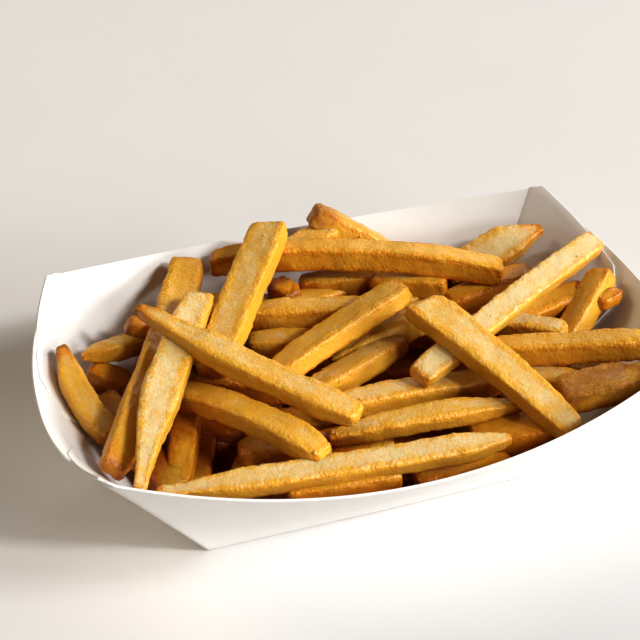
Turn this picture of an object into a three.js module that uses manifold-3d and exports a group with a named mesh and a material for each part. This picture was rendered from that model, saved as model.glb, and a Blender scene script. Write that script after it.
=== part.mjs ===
// French fries heaped in a folded white paperboard tray. Millimetres, +Z up, the tray's base on z = 0.
import * as THREE from "three";
import Module from "manifold-3d";

const wasm = await Module();
wasm.setup();

// ---------------------------------------------------------------- tray sizes
const BASE_LENGTH = 110;
const BASE_WIDTH = 61;
const BOARD = 0.7;
// Where each corner fold meets the rim.
const CORNER = { x: 81.5, y: 50.5, z: 51.5 };
// Between two corners a rim swells outward and dips.
const LONG_RIM = { swell: 16, dip: 9, power: 2 };
const END_RIM = { swell: 13, dip: 8, power: 2.3 };
// The walls lean out by about 40 degrees, so the board is this much thicker measured level.
const LEVEL_BOARD = 1.3 * BOARD;
// The outer layer of an end wall stops short of the corner, where only the glue flap stands.
const END_PANEL = { half: 0.6, raise: 0.01, cutaway: 0.04 };

// ---------------------------------------------------------------- glue flap sizes
// Shares of the end wall: along it, 0 is its middle and 1 its corner. Up it, 1 is the rim.
const BACK_FLAP = { reach: 0.21, topAtReach: 0.975, chamferDrop: 0.15, chamferReach: 0.24 };
const FRONT_FLAP = { reach: 0.54, topAtReach: 0.975, chamferDrop: 0.1, chamferReach: 0.15 };
const FLAP_PEAK = { at: 0.94, height: 1.05 };
const FLAP_FOOT = 0.12;
const FLAP_BITE = 0.6;
const FLAP_STEPS = 12;

// ---------------------------------------------------------------- fry sizes
const CHAMFER = 0.6;
const STATIONS = [0, 0.05, 0.16, 0.36, 0.64, 0.84, 0.95, 1];
const CLEARANCE = 0.4;

// ---------------------------------------------------------------- mesh fineness
const SIDE_STEPS = 12;
const WALL_ROWS = 4;

const lerp = (a, b, share) => a + (b - a) * share;
const smooth = (share) => share * share * (3 - 2 * share);
const clamp01 = (value) => Math.min(1, Math.max(0, value));

// ---------------------------------------------------------------- solids from rings
// Rings run anticlockwise round the direction they are stacked in. Both ends are closed by a fan.
function stackedSolid(rings) {
  const around = rings[0].length;
  const points = rings.flat();
  const triangles = [];
  for (let row = 0; row + 1 < rings.length; row += 1) {
    for (let i = 0; i < around; i += 1) {
      const next = (i + 1) % around;
      const a = row * around + i;
      const b = row * around + next;
      const c = a + around;
      const d = b + around;
      triangles.push(a, b, d, a, d, c);
    }
  }
  const last = (rings.length - 1) * around;
  const firstCentre = points.push(centreOf(rings[0])) - 1;
  const lastCentre = points.push(centreOf(rings[rings.length - 1])) - 1;
  for (let i = 0; i < around; i += 1) {
    const next = (i + 1) % around;
    triangles.push(firstCentre, next, i);
    triangles.push(lastCentre, last + i, last + next);
  }
  return manifoldOf(points, triangles);
}

function manifoldOf(points, triangles) {
  return new wasm.Manifold(
    new wasm.Mesh({
      numProp: 3,
      vertProperties: new Float32Array(points.flatMap((p) => p.toArray())),
      triVerts: new Uint32Array(triangles),
    }),
  );
}

// A sheet between two grids of points, the face seen from inside the tray and the back behind it.
// Flipped turns the triangles round for a sheet whose rows run the other way.
function sheetSolid(face, back, flipped) {
  const rows = face.length;
  const columns = face[0].length;
  const points = [...face.flat(), ...back.flat()];
  const triangles = [];
  const add = (a, b, c) => (flipped ? triangles.push(a, c, b) : triangles.push(a, b, c));
  const at = (row, column) => row * columns + column;
  const behind = rows * columns;
  for (let row = 0; row + 1 < rows; row += 1) {
    for (let column = 0; column + 1 < columns; column += 1) {
      const [a, b, c, d] = [at(row, column), at(row, column + 1), at(row + 1, column + 1), at(row + 1, column)];
      add(a, b, c);
      add(a, c, d);
      add(behind + a, behind + c, behind + b);
      add(behind + a, behind + d, behind + c);
    }
  }
  const edge = [];
  for (let column = 0; column + 1 < columns; column += 1) edge.push(at(0, column));
  for (let row = 0; row + 1 < rows; row += 1) edge.push(at(row, columns - 1));
  for (let column = columns - 1; column > 0; column -= 1) edge.push(at(rows - 1, column));
  for (let row = rows - 1; row > 0; row -= 1) edge.push(at(row, 0));
  edge.forEach((a, k) => {
    const b = edge[(k + 1) % edge.length];
    add(b, a, behind + a);
    add(b, behind + a, behind + b);
  });
  return manifoldOf(points, triangles);
}

function centreOf(ring) {
  const sum = new THREE.Vector3();
  ring.forEach((point) => sum.add(point));
  return sum.divideScalar(ring.length);
}

function meshOf(name, solid, colour, roughness) {
  const { vertProperties, triVerts } = solid.getMesh();
  const geometry = new THREE.BufferGeometry();
  geometry.setAttribute("position", new THREE.BufferAttribute(vertProperties, 3));
  geometry.setIndex(new THREE.BufferAttribute(triVerts, 1));
  geometry.computeVertexNormals();
  const mesh = new THREE.Mesh(geometry, new THREE.MeshStandardMaterial({ color: colour, roughness }));
  mesh.name = name;
  return mesh;
}

// Of a union that falls into several bodies, the largest: loose scraps are dropped.
function largestBody(solid) {
  return solid.decompose().reduce((best, body) => (body.volume() > best.volume() ? body : best));
}

// ---------------------------------------------------------------- tray surfaces
// Along a wall t runs from -1 to 1, corner to corner.
function longRim(t, sign) {
  const inward = 1 - Math.abs(t) ** LONG_RIM.power;
  return new THREE.Vector3(
    CORNER.x * t,
    sign * (CORNER.y + LONG_RIM.swell * inward),
    CORNER.z - LONG_RIM.dip * inward,
  );
}

function endRim(t, sign) {
  const inward = 1 - Math.abs(t) ** END_RIM.power;
  return new THREE.Vector3(
    sign * (CORNER.x + END_RIM.swell * inward),
    CORNER.y * t,
    CORNER.z - END_RIM.dip * inward,
  );
}

// A point of a wall's outer face, moved level towards the tray's middle by inset.
// Height is a share of the way from the base fold to the rim.
function wallPoint(side, t, height, inset) {
  const sign = side.sign;
  const rim = side.long ? longRim(t, sign) : endRim(t, sign);
  const foot = side.long
    ? new THREE.Vector3((BASE_LENGTH / 2) * t, (sign * BASE_WIDTH) / 2, 0)
    : new THREE.Vector3((sign * BASE_LENGTH) / 2, (BASE_WIDTH / 2) * t, 0);
  const point = foot.lerp(rim, height);
  const endExtra = inset.end ?? inset.all;
  const shrinkX = endExtra / CORNER.x;
  const shrinkY = inset.all / CORNER.y;
  point.x -= side.long ? point.x * shrinkX : sign * endExtra;
  point.y -= side.long ? sign * inset.all : point.y * shrinkY;
  return point;
}

const SIDES = [
  { long: true, sign: -1, way: 1 },
  { long: false, sign: 1, way: 1 },
  { long: true, sign: 1, way: -1 },
  { long: false, sign: -1, way: -1 },
];

// A closed ring of wall points, anticlockwise seen from above.
function wallRing(heightOf, inset) {
  return SIDES.flatMap((side) =>
    Array.from({ length: SIDE_STEPS }, (_, i) => {
      const t = side.way * ((2 * i) / SIDE_STEPS - 1);
      return wallPoint(side, t, heightOf(side, t), inset);
    }),
  );
}

// The outer layer of an end wall stands a little proud in its middle and is cut away at its corners.
function rimHeight(side, t) {
  if (side.long) return 1;
  const beyond = (Math.abs(t) - END_PANEL.half) / (1 - END_PANEL.half);
  if (beyond <= 0) return 1 + END_PANEL.raise;
  return 1 - END_PANEL.cutaway * Math.sin(Math.PI * clamp01(beyond)) ** 0.5;
}

function flattened(ring, z) {
  return ring.map((point) => new THREE.Vector3(point.x, point.y, z));
}

function traySheet() {
  const outer = [];
  const inner = [];
  for (let row = 0; row <= WALL_ROWS; row += 1) {
    const share = row / WALL_ROWS;
    outer.push(wallRing((side, t) => share * rimHeight(side, t), { all: 0 }));
    inner.push(wallRing((side, t) => share * rimHeight(side, t), { all: lerp(0.4, 1, share) * LEVEL_BOARD }));
  }
  inner[0] = flattened(inner[0], BOARD);
  return stackedSolid([...outer, ...inner.reverse()]);
}

// ---------------------------------------------------------------- glue flaps
// Top edge of a flap: up to a peak beside the corner, then straight down to its far end.
function flapTop(t, flap) {
  if (t > FLAP_PEAK.at) return lerp(1, FLAP_PEAK.height, (1 - t) / (1 - FLAP_PEAK.at));
  return lerp(FLAP_PEAK.height, flap.topAtReach, (FLAP_PEAK.at - t) / (FLAP_PEAK.at - flap.reach));
}

// Far edge of a flap: chamfered below its top corner, then straight down.
function flapReach(share, flap) {
  const chamfer = clamp01((1 - share) / flap.chamferDrop);
  return flap.reach - flap.chamferReach * chamfer;
}

// A flap lies glued on the inner face of an end wall. Yside is the long wall it is folded from.
function glueFlap(endSign, ySide, flap) {
  const along = Array.from({ length: FLAP_STEPS + 1 }, (_, i) => (i / FLAP_STEPS) ** 1.5);
  const shares = [0, 0.35, 0.7, 1 - flap.chamferDrop, 1 - flap.chamferDrop / 2, 1];
  const side = { long: false, sign: endSign };
  const layer = (level) =>
    shares.map((share) =>
      along.map((u) => {
        const t = lerp(1, flapReach(share, flap), u);
        const height = lerp(FLAP_FOOT, flapTop(Math.max(t, flap.reach), flap), share);
        return wallPoint(side, ySide * t, height, { all: 0, end: level });
      }),
    );
  const face = layer(LEVEL_BOARD * 2);
  const back = layer(LEVEL_BOARD - FLAP_BITE);
  return sheetSolid(face, back, endSign * ySide < 0);
}

function tray() {
  const flaps = [1, -1].flatMap((end) => [glueFlap(end, 1, BACK_FLAP), glueFlap(end, -1, FRONT_FLAP)]);
  return flaps.reduce((whole, flap) => whole.add(flap), traySheet());
}

// ---------------------------------------------------------------- fries
// Width and thickness shrink to the share tip at an end, over the last part, taper, of the length.
function endShare(distance, tip, taper) {
  return lerp(tip, 1, smooth(clamp01(distance / taper)));
}

// One straight-cut fry from end to end. Roll turns its section, and twist turns it further towards
// its end. Bow bends it sideways and up, tip narrows its two ends and cut slants them.
const STRAIGHT = { roll: 0, twist: 0, bow: [0, 0], tip: [0.9, 0.9], taper: [0.3, 0.3], cut: [0, 0] };

function fry(sizes) {
  const { from, to, wide, thick, roll, twist, bow, tip, taper, cut } = { ...STRAIGHT, ...sizes };
  const start = new THREE.Vector3(...from);
  const run = new THREE.Vector3(...to).sub(start);
  const along = run.clone().normalize();
  const level = along.clone().cross(new THREE.Vector3(0, 0, 1)).normalize();
  const rise = level.clone().cross(along);
  const corners = [
    [-1, CHAMFER],
    [-CHAMFER, 1],
    [CHAMFER, 1],
    [1, CHAMFER],
    [1, -CHAMFER],
    [CHAMFER, -1],
    [-CHAMFER, -1],
    [-1, -CHAMFER],
  ];
  const rings = STATIONS.map((share, k) => {
    const arch = 4 * share * (1 - share);
    const centre = start.clone().addScaledVector(run, share);
    centre.addScaledVector(level, bow[0] * arch).addScaledVector(rise, bow[1] * arch);
    const turn = -THREE.MathUtils.degToRad(roll + twist * share);
    const across = level.clone().applyAxisAngle(along, turn);
    const up = rise.clone().applyAxisAngle(along, turn);
    const shrink = Math.min(endShare(share, tip[0], taper[0]), endShare(1 - share, tip[1], taper[1]));
    const rounded = k === 0 || k === STATIONS.length - 1 ? 0.8 : 1;
    const halfWidth = (lerp(wide[0], wide[1], share) / 2) * shrink * rounded;
    const halfThick = (thick / 2) * shrink ** 0.6 * rounded;
    const slant = cut[0] * clamp01(1 - 4 * share) + cut[1] * clamp01(4 * share - 3);
    return corners.map(([a, b]) =>
      centre
        .clone()
        .addScaledVector(across, a * halfWidth)
        .addScaledVector(up, b * halfThick)
        .addScaledVector(along, a * slant * halfWidth),
    );
  });
  return stackedSolid(rings);
}

// The fries that show, each placed end to end.
const TOP_FRIES = [
  { from: [-61, 20.1, 54.6], to: [-10.7, -37.6, 45], wide: [9.5, 9.5], thick: 6, bow: [1.5, 0], tip: [0.42, 0.75], taper: [0.42, 0.14] },
  { from: [-40, 27.1, 49.1], to: [-73.9, -47.8, 44.9], wide: [10.5, 12.5], thick: 6.5, roll: 8, bow: [2.5, 0], tip: [0.85, 0.25], taper: [0.2, 0.5] },
  { from: [-38.5, 54, 44.5], to: [-79, -33.5, 41], wide: [12, 11], thick: 7, twist: 38, bow: [-1.8, 0], tip: [0.9, 0.75] },
  { from: [-10.8, 52.3, 53.8], to: [-44.5, -1.4, 41.8], wide: [13, 11], thick: 7, roll: -4, tip: [0.95, 0.9], cut: [0.15, 0] },
  { from: [-31.2, 54.3, 42.5], to: [56.9, 19.1, 42.1], wide: [8, 8], thick: 8.5, bow: [-2, 4], tip: [0.8, 0.95], taper: [0.12, 0.1] },
  { from: [4.5, 57, 53], to: [29, 49, 36], wide: [9.5, 10], thick: 8.5, roll: 18, taper: [0.2, 0.2] },
  { from: [-8, 50.5, 43.5], to: [11.5, 52.5, 47.5], wide: [8, 9], thick: 7, roll: -10 },
  { from: [-26.2, -5.2, 38.9], to: [21.3, 13.8, 47.4], wide: [10, 11.5], thick: 6.5, roll: 12, bow: [0, 1], tip: [0.9, 0.75], taper: [0.2, 0.12] },
  { from: [19.7, -4, 54], to: [48, -53, 35.4], wide: [13, 9], thick: 6.5, roll: -8, bow: [-0.5, 1], tip: [1, 0.9], taper: [0.2, 0.2], cut: [-0.35, 0] },
  { from: [12.1, -23.5, 42.5], to: [89.6, 19.5, 47], wide: [8.5, 8.8], thick: 5.5, roll: -18, bow: [0, 1.5], tip: [0.95, 0.92], taper: [0.1, 0.07] },
  { from: [32.3, -11.8, 38.1], to: [80.3, -31.8, 44.1], wide: [7.5, 8], thick: 8, tip: [0.7, 0.95] },
  { from: [-69, -43, 38], to: [29, -52, 38], wide: [7.5, 7.5], thick: 6, roll: -12, bow: [1, 0], tip: [0.5, 0.4], taper: [0.3, 0.14] },
  { from: [-60, 6, 33], to: [-23, -46, 41.5], wide: [8.5, 9.5], thick: 6.5, bow: [0, 4.5], tip: [0.9, 0.8], taper: [0.2, 0.12] },
];
const MIDDLE_FRIES = [
  { from: [-27.8, 27.8, 38.4], to: [12.2, 15.8, 39.4], wide: [8, 8], thick: 8.5 },
  { from: [-6.9, 1.1, 33.9], to: [25.1, 5.1, 41.9], wide: [8, 9], thick: 8, roll: 10 },
  { from: [-16.2, -11.5, 35.1], to: [15.8, -1.5, 39.1], wide: [9, 8.5], thick: 7, roll: 8, tip: [0.9, 0.7] },
  { from: [78, 36, 44.5], to: [45, 34, 33.5], wide: [13.5, 12], thick: 7, roll: 22, bow: [0, 1], tip: [0.25, 0.9], taper: [0.4, 0.2] },
  { from: [87, 7, 43.5], to: [65, -11, 33], wide: [9, 8.5], thick: 7.5, roll: -22 },
  { from: [-12.5, -21.1, 35.6], to: [38.5, -22.1, 33.1], wide: [8, 8], thick: 7, bow: [0, 1] },
  { from: [-18, -31.5, 34], to: [38.5, -37, 36], wide: [7, 7.5], thick: 6, roll: -6, bow: [0, 1.5], tip: [0.6, 0.5] },
  { from: [-84.3, 22.5, 43.8], to: [-75.5, -12, 34], wide: [7.5, 8.5], thick: 6.5, bow: [2.5, 0], tip: [0.45, 0.9], taper: [0.35, 0.3] },
  { from: [-79, 21, 40], to: [-57, 26, 37.5], wide: [5, 6.5], thick: 6, tip: [0.35, 0.9] },
  { from: [-64, 28, 43], to: [-50, 27, 38], wide: [8, 8], thick: 7, tip: [0.6, 0.9] },
  { from: [45, 4, 36], to: [65, -12, 37], wide: [8, 8], thick: 8 },
  { from: [51, 1, 35], to: [80, 6, 38.5], wide: [9, 9], thick: 7 },
  { from: [79, -4, 40], to: [88.5, -2, 41.5], wide: [5.5, 5], thick: 5, tip: [0.9, 0.6] },
  { from: [50, -39, 38], to: [73, -41, 40], wide: [12, 11], thick: 8, tip: [0.9, 0.8] },
];
const LOW_FRIES = [
  { from: [-78, 21, 34], to: [-64, 14, 28], wide: [8, 8], thick: 8 },
  { from: [41, -18, 32], to: [62, -35, 34], wide: [9, 9], thick: 8 },
  { from: [18, 36, 35], to: [39.5, 23, 38], wide: [7, 8], thick: 8, tip: [0.9, 0.8] },
  { from: [-12, 46, 34.5], to: [-9, 33, 36.5], wide: [8, 8], thick: 8, tip: [0.9, 0.8] },
  { from: [-4, 45, 33], to: [22, 39, 34], wide: [7, 8], thick: 8 },
  { from: [38, 19, 33.5], to: [69, 23, 36.5], wide: [9, 9], thick: 8 },
  { from: [-52, -3, 31], to: [-61.5, -31, 27.5], wide: [8, 8], thick: 8 },
  { from: [-43, -27, 31], to: [-17, -32, 31], wide: [9, 9], thick: 8 },
  { from: [-35, -48, 32.5], to: [-3, -51, 32.5], wide: [8, 8], thick: 7 },
  { from: [2, -49, 27], to: [30, -51.5, 28], wide: [8, 8], thick: 7 },
  { from: [22, -40, 29], to: [46, -45, 32], wide: [12, 12], thick: 8 },
  { from: [-28, 18, 34], to: [-4, 11, 34], wide: [8, 8], thick: 8 },
  { from: [-45, 38, 35], to: [-18, 38, 36], wide: [9, 9], thick: 8 },
  { from: [-18, -31, 27], to: [2, -32, 27], wide: [8, 8], thick: 7 },
  { from: [63, -42, 38], to: [77, -42, 42], wide: [8, 8], thick: 7 },
  { from: [26, 42, 28], to: [58, 38, 30], wide: [9, 9], thick: 8 },
  { from: [66, -24, 29], to: [70, 14, 30], wide: [9, 9], thick: 8 },
  { from: [-68, -10, 26], to: [-62, -38, 29], wide: [9, 9], thick: 8 },
  { from: [-42, 36, 29], to: [-8, 44, 28], wide: [9, 9], thick: 9 },
  { from: [-12, 35, 32], to: [20, 46, 28], wide: [9, 9], thick: 8 },
  { from: [12, 26, 32], to: [42, 30, 31], wide: [9, 9], thick: 8 },
  { from: [10, 20, 33], to: [40, -2, 34], wide: [9, 9], thick: 9 },
  { from: [-56, 6, 36], to: [-20, -8, 35], wide: [9, 9], thick: 8 },
  { from: [-75, 10, 31], to: [-68, -22, 30], wide: [9, 9], thick: 8 },
];

// ---------------------------------------------------------------- heap
// Level of the hidden mass of fries at the walls and in the middle.
const CORE = { edge: 27, middle: 36 };
const CORE_ROWS = [1, 0.75, 0.5, 0.25];

// The room inside the tray and above it, clear of board and flaps on every side.
function cavity() {
  const inset = { all: LEVEL_BOARD + CLEARANCE, end: 2 * LEVEL_BOARD + CLEARANCE };
  const rings = [0, 0.25, 0.5, 0.75, 1, 1.5].map((height) => wallRing(() => height, inset));
  rings[0] = flattened(rings[0], BOARD + CLEARANCE);
  return stackedSolid(rings);
}

function core() {
  const floor = flattened(wallRing(() => 0.02, { all: 0 }), BOARD + CLEARANCE);
  const edge = flattened(
    wallRing((side, t) => CORE.edge / (side.long ? longRim(t, 1) : endRim(t, 1)).z, { all: 0 }),
    CORE.edge,
  );
  const crown = CORE_ROWS.map((share) =>
    edge.map(
      (point) => new THREE.Vector3(point.x * share, point.y * share, lerp(CORE.middle, CORE.edge, share ** 2)),
    ),
  );
  return stackedSolid([floor, ...crown]);
}

function fries() {
  const pieces = [...TOP_FRIES, ...MIDDLE_FRIES, ...LOW_FRIES].map(fry);
  const heap = pieces.reduce((whole, piece) => whole.add(piece), core());
  return largestBody(heap.intersect(cavity()));
}

// ---------------------------------------------------------------- the part
const group = new THREE.Group();
group.add(meshOf("tray", tray(), 0xf2efea, 0.85));
group.add(meshOf("fries", fries(), 0xe3a83c, 0.7));

export default group;
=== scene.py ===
"""French fries heaped in a folded paperboard tray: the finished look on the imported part."""

import logging
import math
import random
from collections.abc import Callable, Sequence
from dataclasses import dataclass, field
from enum import Enum

import bmesh
import bpy
import numpy as np
from mathutils import Matrix, Vector

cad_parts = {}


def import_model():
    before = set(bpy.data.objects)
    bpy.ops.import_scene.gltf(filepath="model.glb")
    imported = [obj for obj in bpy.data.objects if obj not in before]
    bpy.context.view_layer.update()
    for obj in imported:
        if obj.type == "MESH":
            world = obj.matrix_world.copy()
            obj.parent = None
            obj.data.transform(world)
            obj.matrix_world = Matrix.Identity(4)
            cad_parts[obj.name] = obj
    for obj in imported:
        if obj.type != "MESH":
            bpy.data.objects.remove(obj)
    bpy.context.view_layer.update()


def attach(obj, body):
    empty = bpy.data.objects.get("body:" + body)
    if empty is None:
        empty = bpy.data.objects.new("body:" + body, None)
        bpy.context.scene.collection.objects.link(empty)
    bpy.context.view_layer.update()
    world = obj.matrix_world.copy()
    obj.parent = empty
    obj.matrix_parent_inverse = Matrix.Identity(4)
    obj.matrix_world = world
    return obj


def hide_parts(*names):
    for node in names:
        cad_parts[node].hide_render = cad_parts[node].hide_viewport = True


LOG = logging.getLogger("fries")
MM = 0.001
SNAP = 0.01
TINY = 1e-6

Triple = tuple[float, float, float]
Pair = tuple[float, float]
Colour = tuple[float, float, float, float]


def lerp(low: float, high: float, share: float) -> float:
    """Returns the value that lies share of the way from low to high."""
    return low + (high - low) * share


def clamp01(value: float) -> float:
    """Returns value held between 0 and 1."""
    return min(1.0, max(0.0, value))


def smooth(share: float) -> float:
    """Returns share eased in and out."""
    return share * share * (3.0 - 2.0 * share)


# ------------------------------------------------------------------ workbench


class Bench:
    """Blender's modelling operators, with the selection that each one needs."""

    @staticmethod
    def clear() -> None:
        """Deselects everything."""
        bpy.ops.object.select_all(action="DESELECT")

    @staticmethod
    def take(*pieces: bpy.types.Object) -> None:
        """Selects only these pieces, and makes the first one active.

        Args:
            pieces: The pieces.
        """
        Bench.clear()
        for piece in pieces:
            piece.select_set(True)
        bpy.context.view_layer.objects.active = pieces[0]

    @staticmethod
    def edit(piece: bpy.types.Object, mode: str = "EDGE") -> None:
        """Opens a piece in edit mode.

        Args:
            piece: The piece.
            mode: What is picked in it: VERT, EDGE or FACE.
        """
        Bench.take(piece)
        bpy.ops.object.mode_set(mode="EDIT")
        bpy.ops.mesh.select_mode(type=mode)

    @staticmethod
    def done() -> None:
        """Goes back to object mode."""
        bpy.ops.object.mode_set(mode="OBJECT")

    @staticmethod
    def pick(piece: bpy.types.Object, kind: str, test: Callable) -> None:
        """Selects the elements of an open mesh that pass a test.

        Args:
            piece: The piece in edit mode.
            kind: verts, edges or faces.
            test: Says of one element whether it is picked.
        """
        bpy.ops.mesh.select_all(action="DESELECT")
        mesh = bmesh.from_edit_mesh(piece.data)
        for element in getattr(mesh, kind):
            if test(element):
                element.select_set(True)
        bmesh.update_edit_mesh(piece.data)

    @staticmethod
    def modify(piece: bpy.types.Object, kind: str, **settings: object) -> None:
        """Adds a modifier to a piece and applies it.

        Args:
            piece: The piece to change.
            kind: The modifier's type.
            settings: The modifier's own settings.
        """
        Bench.take(piece)
        modifier = piece.modifiers.new(kind.lower(), kind)
        for name, value in settings.items():
            setattr(modifier, name, value)
        bpy.ops.object.modifier_apply(modifier=modifier.name)

    @staticmethod
    def settle(piece: bpy.types.Object) -> None:
        """Moves a piece's place into its mesh and leaves its object at the origin."""
        Bench.take(piece)
        bpy.ops.object.transform_apply(location=True, rotation=True, scale=True)

    @staticmethod
    def read(piece: bpy.types.Object, name: str) -> np.ndarray:
        """Reads one row of three numbers for each point of a piece.

        Args:
            piece: The piece.
            name: What is read, such as co or normal.

        Returns:
            The rows, in the order of the points.
        """
        flat = np.empty(len(piece.data.vertices) * 3)
        piece.data.vertices.foreach_get(name, flat)
        return flat.reshape(-1, 3)

    @staticmethod
    def join(pieces: Sequence[bpy.types.Object], name: str) -> bpy.types.Object:
        """Joins pieces into one.

        Args:
            pieces: The pieces, which become one mesh.
            name: The joined piece's name.

        Returns:
            The joined piece.
        """
        Bench.take(*pieces)
        if len(pieces) > 1:
            bpy.ops.object.join()
        whole = bpy.context.view_layer.objects.active
        whole.name = whole.data.name = name
        return whole


# ------------------------------------------------------------------ shader kit


class Signal:
    """A shader socket that takes part in plain arithmetic."""

    def __init__(self, recipe: "Recipe", socket: bpy.types.NodeSocket) -> None:
        """Wraps a socket of a recipe's node tree."""
        self.recipe = recipe
        self.socket = socket

    def _math(self, operation: str, *values: object) -> "Signal":
        """Returns the result of a Math node on these values."""
        node = self.recipe.node("ShaderNodeMath", {"operation": operation}, dict(enumerate(values)))
        return Signal(self.recipe, node.outputs[0])

    def __add__(self, other: object) -> "Signal":
        """Returns the sum."""
        return self._math("ADD", self, other)

    def __radd__(self, other: object) -> "Signal":
        """Returns the sum, with the signal on the right."""
        return self._math("ADD", other, self)

    def __sub__(self, other: object) -> "Signal":
        """Returns the difference."""
        return self._math("SUBTRACT", self, other)

    def __rsub__(self, other: object) -> "Signal":
        """Returns the difference, with the signal on the right."""
        return self._math("SUBTRACT", other, self)

    def __mul__(self, other: object) -> "Signal":
        """Returns the product."""
        return self._math("MULTIPLY", self, other)

    def size(self) -> "Signal":
        """Returns the value without its sign."""
        return self._math("ABSOLUTE", self)

    def least(self, other: object) -> "Signal":
        """Returns the smaller of the two."""
        return self._math("MINIMUM", self, other)

    def most(self, other: object) -> "Signal":
        """Returns the larger of the two."""
        return self._math("MAXIMUM", self, other)

    def held(self) -> "Signal":
        """Returns the value held between 0 and 1."""
        return self._math("MAXIMUM", self._math("MINIMUM", self, 1.0), 0.0)

    def rise(self, low: float, high: float) -> "Signal":
        """Eases the value from 0 below low to 1 above high. High below low turns it round.

        Args:
            low: Where it starts to rise.
            high: Where it has risen.

        Returns:
            The eased value.
        """
        settings = {"interpolation_type": "SMOOTHSTEP"}
        node = self.recipe.node("ShaderNodeMapRange", settings, {0: self, 1: low, 2: high})
        return Signal(self.recipe, node.outputs[0])


class Recipe:
    """A material under construction."""

    def __init__(self, name: str) -> None:
        """Starts an empty material.

        Args:
            name: The material's name.
        """
        self.material = bpy.data.materials.new(name)
        self.material.use_nodes = True
        self.tree = self.material.node_tree
        self.tree.nodes.clear()
        self.place = self.node("ShaderNodeTexCoord").outputs["Object"]

    def node(
        self,
        kind: str,
        settings: dict[str, object] | None = None,
        inputs: dict[int | str, object] | None = None,
    ) -> bpy.types.Node:
        """Adds a node.

        Args:
            kind: The node's type.
            settings: The node's own settings, set first.
            inputs: Socket name or number to a value, a signal or a socket.

        Returns:
            The new node.
        """
        made = self.tree.nodes.new(kind)
        for name, value in (settings or {}).items():
            setattr(made, name, value)
        for key, value in (inputs or {}).items():
            value = value.socket if isinstance(value, Signal) else value
            if isinstance(value, bpy.types.NodeSocket):
                self.tree.links.new(value, made.inputs[key])
            else:
                made.inputs[key].default_value = value
        return made

    def noise(self, grain: float, detail: float = 2.0, rough: float = 0.5, shift: float = 0.0) -> Signal:
        """Adds soft noise about 0.5.

        Args:
            grain: Size of its blotches in millimetres.
            detail: Number of finer octaves.
            rough: Strength of the finer octaves.
            shift: Fourth coordinate, which tells two noises of one grain apart.

        Returns:
            The noise.
        """
        inputs = {"Vector": self.place, "W": shift, "Detail": detail, "Roughness": rough}
        inputs["Scale"] = 1.0 / (grain * MM)
        made = self.node("ShaderNodeTexNoise", {"noise_dimensions": "4D"}, inputs)
        return Signal(self, made.outputs["Fac"])

    def cells(self, grain: float) -> Signal:
        """Returns the distance to the nearest of scattered points, in shares of grain, their spacing."""
        node = self.node("ShaderNodeTexVoronoi", {}, {"Vector": self.place, "Scale": 1.0 / (grain * MM)})
        return Signal(self, node.outputs["Distance"])

    def streaks(self, place: object, shift: object, grain: Triple) -> Signal:
        """Adds soft noise about 0.5 that follows a piece's own axes.

        Args:
            place: The piece's own coordinates.
            shift: A vector that tells the pieces apart.
            grain: How often the noise changes along each axis.

        Returns:
            The noise.
        """
        kind = "ShaderNodeVectorMath"
        apart = self.node(kind, {"operation": "SCALE"}, {0: shift, "Scale": 9.0}).outputs[0]
        vector = self.node(kind, {"operation": "MULTIPLY_ADD"}, {0: place, 1: grain, 2: apart}).outputs[0]
        inputs = {"Vector": vector, "Scale": 1.0, "Detail": 3.0, "Roughness": 0.6}
        return Signal(self, self.node("ShaderNodeTexNoise", {}, inputs).outputs["Fac"])

    def lookup(self, name: str) -> bpy.types.Node:
        """Returns the node that reads a piece's own attribute."""
        return self.node("ShaderNodeAttribute", {"attribute_name": name, "attribute_type": "GEOMETRY"})

    def split(self, socket: bpy.types.NodeSocket) -> tuple[Signal, Signal, Signal]:
        """Returns the three parts of a vector or colour."""
        parts = self.node("ShaderNodeSeparateXYZ", {}, {0: socket}).outputs
        return Signal(self, parts[0]), Signal(self, parts[1]), Signal(self, parts[2])

    def blend(self, share: object, low: object, high: object) -> bpy.types.NodeSocket:
        """Returns the colour that lies share of the way from low to high."""
        settings = {"data_type": "RGBA", "clamp_factor": True}
        return self.node("ShaderNodeMix", settings, {"Factor": share, 6: low, 7: high}).outputs[2]

    def bump(self, height: Signal, depth: float, under: object = None) -> bpy.types.NodeSocket:
        """Adds a relief.

        Args:
            height: The relief, from 0 to 1.
            depth: Its depth in millimetres.
            under: The normal of a coarser relief below it.

        Returns:
            The relief's normal.
        """
        inputs: dict[int | str, object] = {"Height": height, "Distance": depth * MM, "Strength": 1.0}
        if under is not None:
            inputs["Normal"] = under
        return self.node("ShaderNodeBump", {}, inputs).outputs["Normal"]

    def finish(self, **inputs: object) -> bpy.types.Material:
        """Adds the surface shader.

        Args:
            inputs: The values of its sockets, which are named with an underscore for each space.

        Returns:
            The finished material.
        """
        named = {name.replace("_", " "): value for name, value in inputs.items()}
        shader = self.node("ShaderNodeBsdfPrincipled", {}, named)
        self.node("ShaderNodeOutputMaterial", {}, {"Surface": shader.outputs[0]})
        return self.material


# ------------------------------------------------------------------ finishes


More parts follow.
